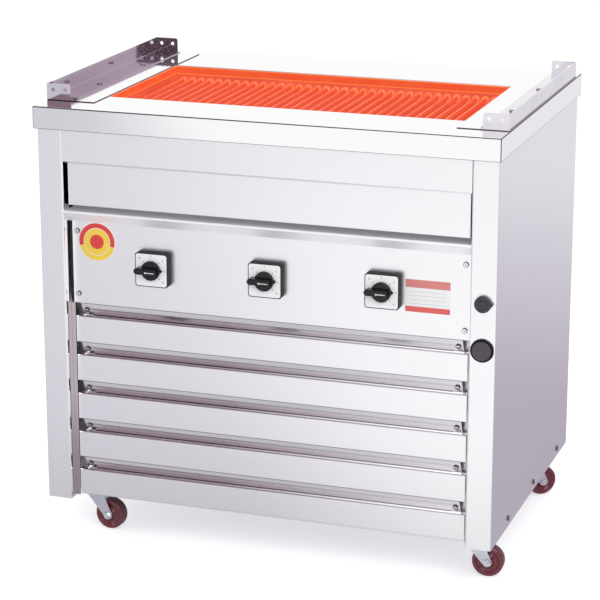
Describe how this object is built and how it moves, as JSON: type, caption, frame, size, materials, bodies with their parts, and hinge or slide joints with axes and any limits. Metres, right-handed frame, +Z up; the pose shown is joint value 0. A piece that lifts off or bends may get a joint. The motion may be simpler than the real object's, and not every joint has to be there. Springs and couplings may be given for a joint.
{
  "type": "electric broiler",
  "caption": "Stainless steel electric skewer broiler on casters, with glowing heater rods under a deck opening, a drip drawer, three cam switches and a louvred front.",
  "frame": {"origin": "on the floor, below the middle of the deck", "axes": "front faces -Y, +X to the right of someone at the front, +Z up"},
  "size_m": [0.96, 0.7, 0.9585],
  "materials": {
    "brushed_stainless": "fine brushed stainless steel sheet",
    "polished_stainless": "mirror-polished stainless steel",
    "galvanised_steel": "plain galvanised steel",
    "heat_stained_steel": "steel stained by heat",
    "glowing_sheath": "oxidised heater sheath, red hot in use",
    "white_ceramic": "glazed ceramic",
    "brass_strap": "plain brass strip",
    "black_moulding": "matt black moulding",
    "gloss_black": "smooth black moulding",
    "white_legend": null,
    "ivory_moulding": "ivory moulding",
    "loom_sleeve": "black woven sleeve",
    "bright_screw": "bright steel",
    "zinc_plate": "bright zinc plate",
    "maroon_wheel": "glossy maroon resin"
  },
  "bodies": {
    "cabinet": {"base_pan": "brushed_stainless", "left_side_shell": "brushed_stainless", "right_side_shell": "brushed_stainless", "rear_panel": "brushed_stainless", "top_deck": "brushed_stainless", "left_side_plate": "brushed_stainless", "right_side_plate": "brushed_stainless", "front_fascia": "brushed_stainless", "drip_awning": "brushed_stainless", "control_panel": "brushed_stainless", "louvre_blade_1": "brushed_stainless", "louvre_blade_2": "brushed_stainless", "louvre_blade_3": "brushed_stainless", "louvre_blade_4": "brushed_stainless", "louvre_blade_5": "brushed_stainless", "left_rail": "polished_stainless", "right_rail": "polished_stainless", "left_louvre_bracket": "galvanised_steel", "right_louvre_bracket": "galvanised_steel", "left_drawer_runner": "galvanised_steel", "right_drawer_runner": "galvanised_steel", "drawer_shelf": "galvanised_steel", "terminal_cover": "galvanised_steel", "heater_rest_bar": "galvanised_steel", "fire_box": "heat_stained_steel", "left_heater_bank": "glowing_sheath", "middle_heater_bank": "glowing_sheath", "right_heater_bank": "glowing_sheath", "heater_bushes": "white_ceramic", "heater_links": "brass_strap", "left_switch_body": "black_moulding", "middle_switch_body": "black_moulding", "right_switch_body": "black_moulding", "selector_body": "black_moulding", "button_housing": "black_moulding", "cable_gland": "black_moulding", "legend_plates": "white_legend", "terminal_block": "ivory_moulding", "wiring_looms": "loom_sleeve", "front_screws": "bright_screw", "cabinet_screws": "bright_screw", "rail_screws": "bright_screw", "caster_bolts": "bright_screw", "button_spring": "bright_screw", "caster_plates": "zinc_plate"},
    "drawer": {"drawer_front": "brushed_stainless", "drip_tray": "brushed_stainless"},
    "left_knob": {"left_switch_knob": "gloss_black"},
    "middle_knob": {"middle_switch_knob": "gloss_black"},
    "right_knob": {"right_switch_knob": "gloss_black"},
    "selector": {"selector_knob": "gloss_black"},
    "button": {"push_button": "gloss_black"},
    "front_left_swivel": {"front_left_fork": "zinc_plate"},
    "front_left_roller": {"front_left_wheel": "maroon_wheel"},
    "front_right_swivel": {"front_right_fork": "zinc_plate"},
    "front_right_roller": {"front_right_wheel": "maroon_wheel"},
    "rear_left_swivel": {"rear_left_fork": "zinc_plate"},
    "rear_left_roller": {"rear_left_wheel": "maroon_wheel"},
    "rear_right_swivel": {"rear_right_fork": "zinc_plate"},
    "rear_right_roller": {"rear_right_wheel": "maroon_wheel"}
  },
  "joints": [
    {"name": "drawer_slide", "type": "slide", "parent": "cabinet", "child": "drawer", "axis": [0, -1, 0], "range_m": [0, 0.4]},
    {"name": "left_switch_turn", "type": "hinge", "parent": "cabinet", "child": "left_knob", "pos_m": [-0.2385, -0.33, 0.602], "axis": [0, 1, 0], "range_deg": [-135, 45]},
    {"name": "middle_switch_turn", "type": "hinge", "parent": "cabinet", "child": "middle_knob", "pos_m": [0.0025, -0.33, 0.602], "axis": [0, 1, 0], "range_deg": [-135, 45]},
    {"name": "right_switch_turn", "type": "hinge", "parent": "cabinet", "child": "right_knob", "pos_m": [0.2435, -0.33, 0.602], "axis": [0, 1, 0], "range_deg": [-135, 45]},
    {"name": "selector_turn", "type": "hinge", "parent": "cabinet", "child": "selector", "pos_m": [0.449, -0.343, 0.599], "axis": [0, 1, 0], "range_deg": [-90, 0]},
    {"name": "button_press", "type": "slide", "parent": "cabinet", "child": "button", "axis": [0, 1, 0], "range_m": [0, 0.006], "stiffness_N_per_m": 500, "springref_m": -0.006, "deforming": ["button_spring"]},
    {"name": "front_left_swivel_turn", "type": "hinge", "parent": "cabinet", "child": "front_left_swivel", "pos_m": [-0.411, -0.234, 0.084], "axis": [0, 0, 1], "continuous": true},
    {"name": "front_left_wheel_roll", "type": "hinge", "parent": "front_left_swivel", "child": "front_left_roller", "pos_m": [-0.37719, -0.23755, 0.0325], "axis": [0.1045, 0.9945, 0], "continuous": true},
    {"name": "front_right_swivel_turn", "type": "hinge", "parent": "cabinet", "child": "front_right_swivel", "pos_m": [0.411, -0.234, 0.084], "axis": [0, 0, 1], "continuous": true},
    {"name": "front_right_wheel_roll", "type": "hinge", "parent": "front_right_swivel", "child": "front_right_roller", "pos_m": [0.44492, -0.23163, 0.0325], "axis": [-0.0698, 0.9976, 0], "continuous": true},
    {"name": "rear_left_swivel_turn", "type": "hinge", "parent": "cabinet", "child": "rear_left_swivel", "pos_m": [-0.411, 0.234, 0.084], "axis": [0, 0, 1], "continuous": true},
    {"name": "rear_left_wheel_roll", "type": "hinge", "parent": "rear_left_swivel", "child": "rear_left_roller", "pos_m": [-0.37752, 0.2399, 0.0325], "axis": [-0.1736, 0.9848, 0], "continuous": true},
    {"name": "rear_right_swivel_turn", "type": "hinge", "parent": "cabinet", "child": "rear_right_swivel", "pos_m": [0.411, 0.234, 0.084], "axis": [0, 0, 1], "continuous": true},
    {"name": "rear_right_wheel_roll", "type": "hinge", "parent": "rear_right_swivel", "child": "rear_right_roller", "pos_m": [0.43779, 0.25493, 0.0325], "axis": [-0.6157, 0.788, 0], "continuous": true}
  ]
}
